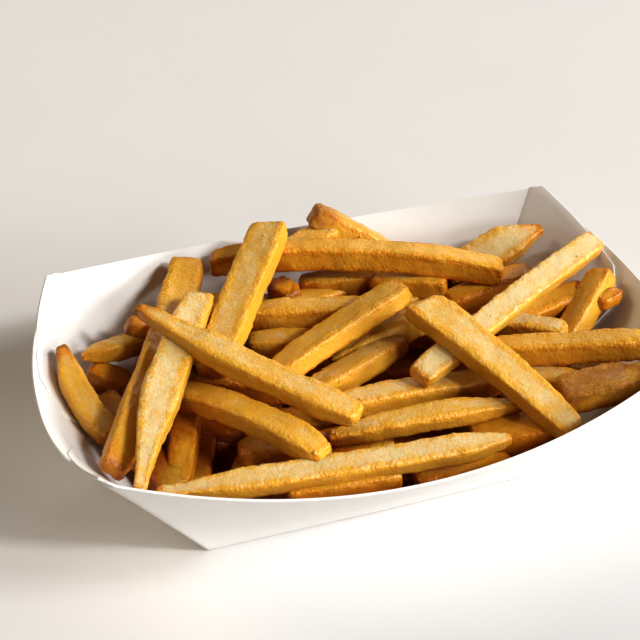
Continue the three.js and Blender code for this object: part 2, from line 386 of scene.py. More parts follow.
@dataclass(frozen=True)
class FriedCrust:
    """Fried potato: a creamy pale face, gold towards the edges, browned ends, with a fine crisp grain.

    Grains and depths are in millimetres. A pair named after a colour says at which depth of frying the
    colour starts to show, and at which it has taken over. The dark colour is painted shade, laid on the crust
    deep in the heap and on faces that look down; the side faces also get a little painted shade.
    """

    cream: Colour = (0.78, 0.64, 0.355, 1.0)
    gold: Colour = (0.78, 0.438, 0.046, 1.0)
    amber: Colour = (0.70, 0.265, 0.007, 1.0)
    brown: Colour = (0.4, 0.14, 0.005, 1.0)
    skin: Colour = (0.5, 0.23, 0.028, 1.0)
    speck: Colour = (0.13, 0.04, 0.006, 1.0)
    # Painted shade, laid deep in the heap and on faces that look down.
    dark: Colour = (0.33, 0.07, 0.002, 1.0)
    patch_grain: float = 7.0
    mottle_grain: float = 2.2
    fine_grain: float = 0.75
    bubble_grain: float = 1.0
    fibre_scale: Triple = (110.0, 3.6, 3.2)
    edge_band: Pair = (0.3, 0.95)
    to_gold: Pair = (-0.1, 0.75)
    to_amber: Pair = (0.85, 1.85)
    toast_to_amber: Pair = (0.15, 1.1)
    toast_to_brown: Pair = (0.65, 1.4)
    to_skin: Pair = (0.3, 0.85)
    to_painted_shade: Pair = (0.2, 0.95)
    mottle_depth: float = 0.2
    crisp_depth: float = 0.24

    def material(self) -> bpy.types.Material:
        """Makes the finish, which reads the fries' own attributes.

        Returns:
            The material.
        """
        mix = Recipe("fried_crust")
        place = mix.lookup("fry_place").outputs["Vector"]
        look = mix.lookup("fry_look").outputs
        reach, across, up = mix.split(place)
        tone, toast, skin = mix.split(look["Color"])
        # The look's alpha is painted shade: high deep in the heap and on faces that look down.
        depth = Signal(mix, look["Alpha"])
        across, up = across.size(), up.size()
        rim = across.most(up) * reach.rise(3.0 * MM, 0.5 * MM)
        edge = across.least(up).most(rim).rise(*self.edge_band)
        # Painted shade: the side faces turn a little deeper gold than the top face.
        sides = (across - up).rise(-0.1, 0.35)

        fibre = mix.streaks(place, look["Color"], self.fibre_scale) - 0.5
        patch = mix.noise(self.patch_grain, 3.0, 0.6) - 0.5
        mottle = mix.noise(self.mottle_grain, 4.0, 0.7, 3.0) - 0.5
        grain = mix.noise(self.fine_grain, 3.0, 0.75, 5.0) - 0.5
        bubbles = mix.cells(self.bubble_grain)

        crisp = edge * (0.4 + mottle * 1.2 + grain * 0.9)
        uneven = patch * 0.8 + fibre * 0.5 + mottle * 0.8 + grain * 0.5 + (bubbles - 0.45) * 0.2
        # Deep is the real frying tone with painted shade from the side faces and from the heap added to it.
        deep = tone + uneven + crisp + sides * 0.12 + depth
        colour = mix.blend(deep.rise(*self.to_gold), self.cream, self.gold)
        colour = mix.blend((deep + grain * 0.5).rise(*self.to_amber), colour, self.amber)
        toasted = toast + edge * toast * 0.6 + mottle * 0.8 * toast
        colour = mix.blend((toasted + grain * 0.4).rise(*self.toast_to_amber), colour, self.amber)
        burnt = toasted + patch * 0.6 + grain * 0.9
        colour = mix.blend(burnt.rise(*self.toast_to_brown), colour, self.brown)
        scurf = skin * (patch * 1.3 + mottle * 0.6 + 0.75)
        colour = mix.blend(scurf.rise(*self.to_skin), colour, self.skin)
        blotch = (mottle * 1.2 + grain * 0.8 + 0.05).rise(0.0, 0.3) * skin
        colour = mix.blend(blotch * 0.7, colour, self.brown)
        colour = mix.blend(self._specks(mix, toasted + skin * 0.5), colour, self.speck)
        # Painted shade: the dark colour deep in the heap and on faces that look down.
        colour = mix.blend(depth.rise(*self.to_painted_shade) * 0.9, colour, self.dark)

        relief = grain * 0.8 + (1.0 - bubbles) * (0.3 + edge * 0.7)
        normal = mix.bump(relief, self.crisp_depth, mix.bump(mottle, self.mottle_depth))
        return mix.finish(
            Base_Color=colour,
            Roughness=(0.37 + grain * 0.5 + skin * 0.2).held(),
            Specular_IOR_Level=0.42,
            Subsurface_Weight=0.4,
            Subsurface_Radius=(1.0, 0.42, 0.1),
            Subsurface_Scale=2.0 * MM,
            Coat_Weight=0.18,
            Coat_Roughness=0.28,
            Normal=normal,
        )

    @staticmethod
    def _specks(mix: Recipe, browned: Signal) -> Signal:
        """Scatters dark specks: rare pits anywhere, and freckles where the crust is browned.

        Args:
            mix: The material under construction.
            browned: How browned the crust is.

        Returns:
            The share of speck colour, from 0 to 1.
        """
        pits = mix.cells(2.2).rise(0.15, 0.04) * mix.noise(14.0, 1.0, 0.5, 9.0).rise(0.56, 0.66)
        freckles = mix.cells(1.7).rise(0.2, 0.08) * browned.rise(0.25, 0.8)
        return (pits + freckles).held() * 0.6


@dataclass(frozen=True)
class BoardFace:
    """The smooth unprinted face of white paperboard, a little darker along its folds."""

    white: Colour = (0.86, 0.845, 0.82, 1.0)
    shade: Colour = (0.80, 0.78, 0.745, 1.0)
    fold: Colour = (0.74, 0.71, 0.67, 1.0)
    cloud_grain: float = 22.0
    fibre_grain: float = 0.7
    fibre_depth: float = 0.018
    wave_grain: float = 9.0
    wave_depth: float = 0.12

    def material(self) -> bpy.types.Material:
        """Makes the finish, which reads the board's fold attribute.

        Returns:
            The material.
        """
        mix = Recipe("board_face")
        fold = Signal(mix, mix.lookup("fold").outputs["Fac"])
        clouds = mix.noise(self.cloud_grain, 3.0, 0.5)
        fibres = mix.noise(self.fibre_grain, 4.0, 0.7, 2.0)
        colour = mix.blend((clouds - 0.5) * 0.8 + (fibres - 0.5) * 0.5 + 0.3, self.white, self.shade)
        colour = mix.blend(fold.rise(0.5, 1.0) * (0.25 + fibres * 0.5), colour, self.fold)
        waves = mix.bump(mix.noise(self.wave_grain, 2.0, 0.5, 4.0), self.wave_depth)
        return mix.finish(
            Base_Color=colour,
            Roughness=(0.62 + (fibres - 0.5) * 0.3).held(),
            Specular_IOR_Level=0.35,
            Subsurface_Weight=0.06,
            Subsurface_Radius=(1.0, 0.9, 0.75),
            Subsurface_Scale=0.8 * MM,
            Normal=mix.bump(fibres, self.fibre_depth, waves),
        )


@dataclass(frozen=True)
class BoardEdge:
    """The cut edge of the board, where its unbleached inner plies show."""

    ply: Colour = (0.86, 0.84, 0.80, 1.0)
    dark: Colour = (0.76, 0.73, 0.68, 1.0)

    def material(self) -> bpy.types.Material:
        """Makes the finish.

        Returns:
            The material.
        """
        mix = Recipe("board_edge")
        fibres = mix.noise(0.5, 4.0, 0.7, 6.0)
        colour = mix.blend((fibres - 0.35).held(), self.ply, self.dark)
        return mix.finish(Base_Color=colour, Roughness=0.85, Normal=mix.bump(fibres, 0.05))


@dataclass(frozen=True)
class PaleTop:
    """The pale table top."""

    light: Colour = (0.82, 0.81, 0.80, 1.0)
    dull: Colour = (0.79, 0.78, 0.77, 1.0)

    def material(self) -> bpy.types.Material:
        """Makes the finish.

        Returns:
            The material.
        """
        mix = Recipe("pale_top")
        colour = mix.blend(mix.noise(60.0, 3.0, 0.5), self.light, self.dull)
        return mix.finish(Base_Color=colour, Roughness=0.7, Specular_IOR_Level=0.3)


# ------------------------------------------------------------------ tray


@dataclass(frozen=True)
class Rim:
    """How one wall's top edge swells outward and dips between its corners, in millimetres."""

    swell: float
    dip: float
    power: float


@dataclass(frozen=True)
class Flap:
    """A glue flap, in shares of the end wall: along it 0 is the middle and 1 the corner."""

    reach: float
    top_at_reach: float
    chamfer_drop: float
    chamfer_reach: float


@dataclass(frozen=True)
class Side:
    """One of the four walls. Way is the direction in which the ring of walls runs along it."""

    long: bool
    sign: int
    way: int


SIDES = (Side(True, -1, 1), Side(False, 1, 1), Side(True, 1, -1), Side(False, -1, -1))


@dataclass
class PaperTray:
    """A tray folded from one sheet of paperboard, its corners held by flaps glued inside the end walls.

    Lengths are in millimetres. Board_level is the board's thickness measured level through a leaning
    wall, as a multiple of the board. The flaps' peak, foot, loose and press, the bend's start and the
    panels' numbers are shares: of the end wall's height or half width, of the bend, and, for press, of
    the board seen level, at the right and left end. End_layers is how many boards thick an end wall is.
    Beyond loose, along and up, a flap stands off the wall by flap_lift. Flap_crowd moves its columns
    towards the bend.
    """

    base_length: float = 110.0
    base_width: float = 61.0
    board: float = 0.7
    board_level: float = 1.3
    corner: Triple = (81.5, 50.5, 51.5)
    long_rim: Rim = Rim(16.0, 9.0, 2.0)
    end_rim: Rim = Rim(13.0, 8.0, 2.3)
    end_layers: float = 2.15
    panel_half: float = 0.6
    panel_raise: float = 0.01
    panel_cutaway: float = 0.04
    back_flap: Flap = Flap(0.21, 0.975, 0.15, 0.24)
    front_flap: Flap = Flap(0.54, 0.975, 0.1, 0.15)
    flap_peak: Pair = (0.94, 1.05)
    flap_foot: float = 0.12
    flap_lift: float = 0.08
    flap_crowd: float = 1.2
    flap_loose: Pair = (0.8, 0.55)
    flap_bend: float = 1.6
    flap_press: Pair = (1.06, 0.5)
    flap_columns: int = 36
    flap_rows: int = 20
    bend_columns: int = 6
    bend_start: float = 0.6
    bend_proud: float = 0.05
    fold_round: float = 0.9
    edge_round: float = 0.12
    steps: int = 60
    rows: int = 12

    @property
    def level_board(self) -> float:
        """The board's thickness measured level through a leaning wall."""
        return self.board_level * self.board

    def rim_point(self, side: Side, t: float) -> Vector:
        """Finds a point of a wall's top edge.

        Args:
            side: The wall.
            t: Place along it, from -1 to 1.

        Returns:
            The point, in millimetres.
        """
        rim = self.long_rim if side.long else self.end_rim
        inward = 1.0 - abs(t) ** rim.power
        height = self.corner[2] - rim.dip * inward
        if side.long:
            return Vector((self.corner[0] * t, side.sign * (self.corner[1] + rim.swell * inward), height))
        return Vector((side.sign * (self.corner[0] + rim.swell * inward), self.corner[1] * t, height))

    def wall_point(self, side: Side, t: float, height: float, inset: float) -> Vector:
        """Finds a point of a wall.

        Args:
            side: The wall.
            t: Place along it, from -1 to 1.
            height: Share of the way from the base fold to the rim.
            inset: How far inside the wall's outer face, measured level.

        Returns:
            The point, in millimetres.
        """
        if side.long:
            foot = Vector((self.base_length / 2 * t, side.sign * self.base_width / 2, 0.0))
        else:
            foot = Vector((side.sign * self.base_length / 2, self.base_width / 2 * t, 0.0))
        point = foot.lerp(self.rim_point(side, t), height)
        if side.long:
            point.y -= side.sign * inset
        else:
            point.x -= side.sign * inset
        return point

    def rim_share(self, side: Side, t: float) -> float:
        """Says how high a wall's outer layer reaches.

        Args:
            side: The wall.
            t: Place along it, from -1 to 1.

        Returns:
            Its height, as a share of the rim's.
        """
        if side.long:
            return 1.0
        beyond = (abs(t) - self.panel_half) / (1.0 - self.panel_half)
        if beyond <= 0.0:
            return 1.0 + self.panel_raise
        return 1.0 - self.panel_cutaway * math.sin(math.pi * clamp01(beyond)) ** 0.5

    def _walls(self) -> bpy.types.Object:
        """Makes the four walls and the base, with rounded folds.

        Returns:
            The thin sheet.
        """
        Bench.clear()
        bpy.ops.mesh.primitive_grid_add(x_subdivisions=4 * self.steps, y_subdivisions=self.rows, size=1.0)
        sheet = bpy.context.object
        for vertex in sheet.data.vertices:
            along = (vertex.co.x + 0.5) * 4.0
            index = min(3, int(along + TINY))
            side = SIDES[index]
            t = side.way * (2.0 * (along - index) - 1.0)
            share = (vertex.co.y + 0.5) * self.rim_share(side, t)
            vertex.co = self.wall_point(side, t, share, 0.0) * MM
        Bench.edit(sheet, "EDGE")
        bpy.ops.mesh.select_all(action="SELECT")
        bpy.ops.mesh.remove_doubles(threshold=SNAP * MM)
        Bench.pick(sheet, "edges", lambda e: all(v.co.z < SNAP * MM for v in e.verts))
        bpy.ops.mesh.edge_face_add()
        bpy.ops.mesh.select_all(action="SELECT")
        bpy.ops.mesh.normals_make_consistent(inside=False)
        Bench.pick(sheet, "edges", self._is_fold)
        bpy.ops.mesh.bevel(offset=self.fold_round * MM, segments=3, profile=0.5, affect="EDGES")
        self._mark_folds(sheet)
        Bench.done()
        return sheet

    def _is_fold(self, edge: bmesh.types.BMEdge) -> bool:
        """Says whether an edge of the sheet lies in the base fold or in a corner fold.

        Args:
            edge: The edge.

        Returns:
            Whether it is bevelled.
        """
        a, b = (v.co / MM for v in edge.verts)
        if max(a.z, b.z) < SNAP:
            return True
        if abs(a.z - b.z) < 50.0 * SNAP:
            return False
        return all(self._corner_gap(point) < 5.0 * SNAP for point in (a, b))

    def _corner_gap(self, point: Vector) -> float:
        """Measures how far a point lies from the corner fold at its height.

        Args:
            point: The point, in millimetres.

        Returns:
            The distance, in millimetres.
        """
        share = point.z / self.corner[2]
        x = lerp(self.base_length / 2, self.corner[0], share)
        y = lerp(self.base_width / 2, self.corner[1], share)
        return math.hypot(abs(point.x) - x, abs(point.y) - y)

    @staticmethod
    def _mark_folds(sheet: bpy.types.Object) -> None:
        """Writes the fold attribute: 1 on the bevelled folds, which are still selected.

        Args:
            sheet: The sheet, open in edit mode.
        """
        mesh = bmesh.from_edit_mesh(sheet.data)
        layer = mesh.verts.layers.float.new("fold")
        for vertex in mesh.verts:
            vertex[layer] = 1.0 if vertex.select else 0.0
        bmesh.update_edit_mesh(sheet.data)

    def _flap(self, end: int, y_side: int, flap: Flap) -> bpy.types.Object:
        """Makes one glue flap.

        Args:
            end: Sign of the end wall it is glued to.
            y_side: Sign of the long wall it is folded from.
            flap: Its outline.

        Returns:
            The thin sheet.
        """
        Bench.clear()
        bpy.ops.mesh.primitive_grid_add(
            x_subdivisions=self.flap_columns, y_subdivisions=self.flap_rows, size=1.0
        )
        sheet = bpy.context.object
        side = Side(False, end, 1)
        inset = self._flap_inset(end)
        bend = self.bend_columns / self.flap_columns
        fold = 1.0 - self.flap_bend / self.corner[1]
        for vertex in sheet.data.vertices:
            u = (vertex.co.x + 0.5 - bend) / (1.0 - bend)
            share = vertex.co.y + 0.5
            if u < 0.0:
                turn = 1.0 + u / bend * (1.0 - bend)
                top = lerp(1.0, self._flap_top(fold, flap), turn)
                vertex.co = self._fold_point(end, y_side, lerp(self.flap_foot, top, share), turn) * MM
                continue
            u **= self.flap_crowd
            chamfer = flap.chamfer_reach * clamp01((1.0 - share) / flap.chamfer_drop)
            t = lerp(fold, flap.reach - chamfer, u)
            height = lerp(self.flap_foot, self._flap_top(max(t, flap.reach), flap), share)
            free = [(at - low) / (1.0 - low) for at, low in zip((u, share), self.flap_loose)]
            loose = smooth(clamp01(free[0])) * smooth(clamp01(free[1]))
            vertex.co = self.wall_point(side, y_side * t, height, inset + self.flap_lift * loose) * MM
        Bench.edit(sheet, "FACE")
        bpy.ops.mesh.select_all(action="SELECT")
        if end * y_side > 0:
            bpy.ops.mesh.flip_normals()
        Bench.done()
        return sheet

    def _fold_point(self, end: int, y_side: int, height: float, turn: float) -> Vector:
        """Finds a point of the bend in which a flap leaves its long wall.

        Args:
            end: Sign of the end wall the flap is glued to.
            y_side: Sign of the long wall it is folded from.
            height: Share of the way from the base fold to the rim.
            turn: Share of the way round the bend.

        Returns:
            The point, in millimetres.
        """
        away = self.flap_bend / self.corner[1]
        start = end * (1.0 - away * self.bend_start)
        first = self.wall_point(Side(True, y_side, 1), start, height, -self.bend_proud)
        corner = self.wall_point(Side(False, end, 1), y_side, height, self._flap_inset(end))
        last = self.wall_point(Side(False, end, 1), y_side * (1.0 - away), height, self._flap_inset(end))
        return first * (1.0 - turn) ** 2 + corner * (2.0 * turn * (1.0 - turn)) + last * turn**2

    def _flap_inset(self, end: int) -> float:
        """Returns how far inside an end wall's outer face its flaps lie, in millimetres."""
        return self.level_board * self.flap_press[0 if end > 0 else 1]

    def _flap_top(self, t: float, flap: Flap) -> float:
        """Says how high a flap's top edge lies.

        Args:
            t: Place along the end wall, from 0 at its middle to 1 at its corner.
            flap: The flap's outline.

        Returns:
            The height, as a share of the rim's.
        """
        at, height = self.flap_peak
        if t > at:
            return lerp(1.0, height, (1.0 - t) / (1.0 - at))
        return lerp(height, flap.top_at_reach, (at - t) / (at - flap.reach))

    def _thicken(self, sheet: bpy.types.Object) -> None:
        """Gives a sheet the board's thickness, inwards, with crisp cut edges.

        Args:
            sheet: The thin sheet.
        """
        Bench.modify(
            sheet,
            "SOLIDIFY",
            thickness=self.board * MM,
            offset=-1.0,
            use_even_offset=True,
            use_quality_normals=True,
            material_offset_rim=1,
        )
        crease = math.radians(60)
        width = self.edge_round * MM
        Bench.modify(sheet, "BEVEL", width=width, segments=2, limit_method="ANGLE", angle_limit=crease)

    def build(self) -> bpy.types.Object:
        """Makes the sheets, thickens them and joins them.

        Returns:
            The finished tray.
        """
        face, edge = BoardFace().material(), BoardEdge().material()
        sheets = [self._walls()]
        for end in (1, -1):
            sheets.append(self._flap(end, 1, self.back_flap))
            sheets.append(self._flap(end, -1, self.front_flap))
        for sheet in sheets:
            sheet.data.materials.append(face)
            sheet.data.materials.append(edge)
            self._thicken(sheet)
        tray = Bench.join(sheets, "paper_tray")
        bpy.ops.object.shade_smooth_by_angle(angle=math.radians(35))
        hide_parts("tray")
        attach(tray, "root")
        return tray

    def keep_inside(self, piece: bpy.types.Object, gap: float) -> int:
        """Presses a piece's points that lie in or behind a wall back inside the tray.

        Args:
            piece: The piece, its place in its mesh.
            gap: Room left between it and the board, in millimetres.

        Returns:
            The number of points moved.
        """
        points = Bench.read(piece, "co") / MM
        before = points.copy()
        points[:, 2] = np.maximum(points[:, 2], self.board + gap)
        for long in (True, False):
            along, out = (0, 1) if long else (1, 0)
            rim = self.long_rim if long else self.end_rim
            foot_along, foot_out = (self.base_length / 2, self.base_width / 2)[:: 1 if long else -1]
            tip_along, tip_out = self.corner[along], self.corner[out]
            inset = self.level_board * (1.0 if long else self.end_layers) + gap
            share = np.full(len(points), 0.7)
            for _ in range(6):
                t = points[:, along] / (foot_along + (tip_along - foot_along) * share)
                inward = 1.0 - np.minimum(1.0, np.abs(t)) ** rim.power
                share = points[:, 2] / (self.corner[2] - rim.dip * inward)
            limit = foot_out + (tip_out + rim.swell * inward - foot_out) * share - inset
            over = (np.abs(points[:, out]) > limit) & (share < 1.0)
            points[over, out] = np.sign(points[over, out]) * limit[over]
        piece.data.vertices.foreach_set("co", (points * MM).ravel())
        piece.data.update()
        return int((np.abs(points - before).max(1) > 1e-4).sum())


# ------------------------------------------------------------------ fries


class Skin(Enum):
    """Where a fry still carries potato skin."""

    NONE = "none"
    START = "start"
    END = "end"
    SIDE = "side"


@dataclass(frozen=True)
class Fry:
    """One straight-cut fry from end to end, in millimetres and degrees.

    Roll turns its section, and twist turns it further towards its end. Bow bends it sideways and up.
    Tip narrows its two ends over the shares taper of its length, and cut slants them. Tone runs from
    pale to deep gold, and toast browns the two ends. On low fries that lie in shade, tone and toast near
    1 or above are also painted shade.
    """

    start: Triple
    end: Triple
    wide: Pair
    thick: float
    roll: float = 0.0
    bow: Pair = (0.0, 0.0)
    tip: Pair = (0.9, 0.9)
    cut: Pair = (0.0, 0.0)
    tone: float = 0.4
    toast: Pair = (0.25, 0.25)
    skin: Skin = Skin.NONE
    twist: float = 0.0
    taper: Pair = (0.3, 0.3)

    @property
    def length(self) -> float:
        """The distance between its ends, in millimetres."""
        return (Vector(self.end) - Vector(self.start)).length

    def shrink(self, share: float) -> float:
        """Returns its width at a place along it, as a share of its full width."""
        gaps = (share, 1.0 - share)
        return min(lerp(self.tip[k], 1.0, smooth(clamp01(gaps[k] / self.taper[k]))) for k in (0, 1))

    def placement(self) -> Matrix:
        """Works out the turn and the move from the fry's own axes to the tray's.

        Its own axes run along it, across it and up through its thickness.

        Returns:
            The two together, in metres.
        """
        along = (Vector(self.end) - Vector(self.start)).normalized()
        level = along.cross(Vector((0.0, 0.0, 1.0))).normalized()
        rise = level.cross(along)
        turn = math.radians(self.roll)
        across = level * math.cos(turn) + rise * math.sin(turn)
        up = rise * math.cos(turn) - level * math.sin(turn)
        axes = Matrix((along, -across, up)).transposed().to_4x4()
        return Matrix.Translation(Vector(self.start) * MM) @ axes

    def local_bow(self) -> Pair:
        """Turns its bend with its roll.

        Returns:
            The bend along its own second and third axes, in millimetres.
        """
        turn = math.radians(self.roll)
        sideways, upward = self.bow
        across = sideways * math.cos(turn) + upward * math.sin(turn)
        return -across, upward * math.cos(turn) - sideways * math.sin(turn)


TOP_FRIES = (
    Fry(
        (-61, 20.1, 54.6), (-10.7, -37.6, 45), (9.5, 9.5), 6, bow=(1.5, 0),
        tip=(0.42, 0.75), taper=(0.42, 0.14), toast=(0.9, 0.15),
    ),
    Fry(
        (-40, 27.1, 49.1), (-73.9, -47.8, 44.9), (10.5, 12.5), 6.5, 8, bow=(2.5, 0),
        tip=(0.85, 0.25), taper=(0.2, 0.5), tone=0.15, toast=(0.35, 0.25),
    ),
    Fry(
        (-38.5, 54, 44.5), (-79, -33.5, 41), (12, 11), 7, bow=(-1.8, 0),
        tip=(0.9, 0.75), twist=38, tone=0.7, toast=(0.4, 0.65),
    ),
    Fry(
        (-10.8, 52.3, 53.8), (-44.5, -1.4, 41.8), (13, 11), 7, -4,
        tip=(0.95, 0.9), cut=(0.15, 0), tone=0.35, toast=(0.3, 0.2),
    ),
    Fry(
        (-31.2, 54.3, 42.5), (56.9, 19.1, 42.1), (8, 8), 8.5, bow=(-2, 4),
        tip=(0.8, 0.95), taper=(0.12, 0.1), tone=0.75, toast=(0.6, 0.15),
    ),
    Fry(
        (4.5, 57, 53), (29, 49, 36), (9.5, 10), 8.5, 18,
        taper=(0.2, 0.2), tone=0.6, toast=(1.0, 0.2), skin=Skin.START,
    ),
    Fry((-8, 50.5, 43.5), (11.5, 52.5, 47.5), (8, 9), 7, -10, tone=0.35, toast=(0.2, 0.2)),
    Fry(
        (-26.2, -5.2, 38.9), (21.3, 13.8, 47.4), (10, 11.5), 6.5, 12, bow=(0, 1),
        tip=(0.9, 0.75), taper=(0.2, 0.12), tone=0.55, toast=(0.1, 0.45),
    ),
    Fry(
        (19.7, -4, 54), (48, -53, 35.4), (13, 9), 6.5, -8, bow=(-0.5, 1),
        tip=(1, 0.9), taper=(0.2, 0.2), cut=(-0.35, 0), tone=0.3, toast=(0.35, 0.25),
    ),
    Fry(
        (12.1, -23.5, 42.5), (89.6, 19.5, 47), (8.5, 8.8), 5.5, -18, bow=(0, 1.5),
        tip=(0.95, 0.92), taper=(0.1, 0.07), tone=0.05, toast=(0.35, 0.35),
    ),
    Fry((32.3, -11.8, 38.1), (80.3, -31.8, 44.1), (7.5, 8), 8, tip=(0.7, 0.95), tone=0.75, toast=(0.3, 0.1)),
    Fry(
        (-69, -43, 38), (29, -52, 38), (7.5, 7.5), 6, -12, bow=(1, 0),
        tip=(0.5, 0.4), taper=(0.3, 0.14), tone=0.2, toast=(0.4, 0.3),
    ),
    Fry(
        (-60, 6, 33), (-23, -46, 41.5), (8.5, 9.5), 6.5, bow=(0, 4.5),
        tip=(0.9, 0.8), taper=(0.2, 0.12), tone=0.6, toast=(0.3, 0.2),
    ),
)
MIDDLE_FRIES = (
    Fry((-27.8, 27.8, 38.4), (12.2, 15.8, 39.4), (8, 8), 8.5, tone=0.55),
    Fry((-6.9, 1.1, 33.9), (25.1, 5.1, 41.9), (8, 9), 8, 10, tone=0.35),
    Fry(
        (-16.2, -11.5, 35.1), (15.8, -1.5, 39.1), (9, 8.5), 7, 8,
        tip=(0.9, 0.7), toast=(0.2, 0.9), skin=Skin.END,
    ),
    Fry(
        (78, 36, 44.5), (45, 34, 33.5), (13.5, 12), 7, 22, bow=(0, 1),
        tip=(0.25, 0.9), taper=(0.4, 0.2), tone=0.1, toast=(0.7, 0.2),
    ),
    Fry((87, 7, 43.5), (65, -11, 33), (9, 8.5), 7.5, -22, tone=0.55, toast=(0.5, 0.3)),
    Fry((-12.5, -21.1, 35.6), (38.5, -22.1, 33.1), (8, 8), 7, bow=(0, 1), tone=0.35, toast=(0.2, 0.5)),
    Fry((-18, -31.5, 34), (38.5, -37, 36), (7, 7.5), 6, -6, bow=(0, 1.5), tip=(0.6, 0.5), toast=(0.3, 0.5)),
    Fry(
        (-84.3, 22.5, 43.8), (-75.5, -12, 34), (7.5, 8.5), 6.5, bow=(2.5, 0),
        tip=(0.45, 0.9), taper=(0.35, 0.3), tone=0.5, toast=(0.9, 0.2),
    ),
    Fry((-79, 21, 40), (-57, 26, 37.5), (5, 6.5), 6, tip=(0.35, 0.9), tone=0.45, toast=(0.4, 0.2)),
    Fry((-64, 28, 43), (-50, 27, 38), (8, 8), 7, tip=(0.6, 0.9), tone=0.7, toast=(0.9, 0.4)),
    Fry((45, 4, 36), (65, -12, 37), (8, 8), 8, tone=0.2),
    Fry((51, 1, 35), (80, 6, 38.5), (9, 9), 7, tone=0.8, toast=(0.4, 0.7)),
    Fry((79, -4, 40), (88.5, -2, 41.5), (5.5, 5), 5, tip=(0.9, 0.6), tone=0.9, toast=(0.6, 0.9)),
    Fry(
        (50, -39, 38), (73, -41, 40), (12, 11), 8,
        tip=(0.9, 0.8), tone=0.6, toast=(0.5, 0.5), skin=Skin.SIDE,
    ),
)
# Tone and toast near 1 or above on these low fries are painted shade, where they lie in shadow.
LOW_FRIES = (
    Fry((-78, 21, 34), (-64, 14, 28), (8, 8), 8, tone=1.1, toast=(0.8, 0.8)),
    Fry((41, -18, 32), (62, -35, 34), (9, 9), 8, tone=0.35),
    Fry((18, 36, 35), (39.5, 23, 38), (7, 8), 8, tip=(0.9, 0.8), tone=0.6, toast=(0.7, 0.3)),
    Fry((-12, 46, 34.5), (-9, 33, 36.5), (8, 8), 8, tip=(0.9, 0.8), tone=0.7, toast=(0.6, 0.8)),
    Fry((-4, 45, 33), (22, 39, 34), (7, 8), 8, tone=0.35),
    Fry((38, 19, 33.5), (69, 23, 36.5), (9, 9), 8, tone=1.1, toast=(0.5, 0.6)),
    Fry((-52, -3, 31), (-61.5, -31, 27.5), (8, 8), 8, tone=1.0, toast=(0.7, 0.4)),
    Fry((-43, -27, 31), (-17, -32, 31), (9, 9), 8, tone=0.5, toast=(0.7, 0.4)),
    Fry((-35, -48, 32.5), (-3, -51, 32.5), (8, 8), 7, tone=0.7, toast=(0.2, 0)),
    Fry((2, -49, 27), (30, -51.5, 28), (8, 8), 7, tone=1.0, toast=(0.2, 0.6)),
    Fry((22, -40, 29), (46, -45, 32), (12, 12), 8, tone=1.2, toast=(0.5, 0.5)),
    Fry((-28, 18, 34), (-4, 11, 34), (8, 8), 8, tone=0.5),
    Fry((-45, 38, 35), (-18, 38, 36), (9, 9), 8, tone=0.6),
    Fry((-18, -31, 27), (2, -32, 27), (8, 8), 7, tone=0.6, toast=(0.7, 0.3)),
    Fry((63, -42, 38), (77, -42, 42), (8, 8), 7, tone=0.8, toast=(0.5, 0.6), skin=Skin.END),
    Fry((26, 42, 28), (58, 38, 30), (9, 9), 8),
    Fry((66, -24, 29), (70, 14, 30), (9, 9), 8),
    Fry((-68, -10, 26), (-62, -38, 29), (9, 9), 8),
    Fry((-42, 36, 29), (-8, 44, 28), (9, 9), 9),
    Fry((-12, 35, 32), (20, 46, 28), (9, 9), 8),
    Fry((12, 26, 32), (42, 30, 31), (9, 9), 8),
    Fry((10, 20, 33), (40, -2, 34), (9, 9), 9),
    Fry((-56, 6, 36), (-20, -8, 35), (9, 9), 8),
    Fry((-75, 10, 31), (-68, -22, 30), (9, 9), 8, tone=1.1, toast=(0.9, 0.9)),
)


@dataclass(frozen=True)
class Relief:
    """One layer of a crust's relief, its grain and depth in millimetres."""

    name: str
    grain: float
    depth: float
    octaves: int
    basis: str = "BLENDER_ORIGINAL"
    contrast: float = 1.0
    edges_only: bool = False

    def texture(self) -> bpy.types.Texture:
        """Makes the texture that drives this layer.

        Returns:
            The texture.
        """
        made = bpy.data.textures.new(self.name, "CLOUDS")
        made.noise_scale = self.grain * MM
        made.noise_depth = self.octaves
        made.noise_basis = self.basis
        made.contrast = self.contrast
        return made


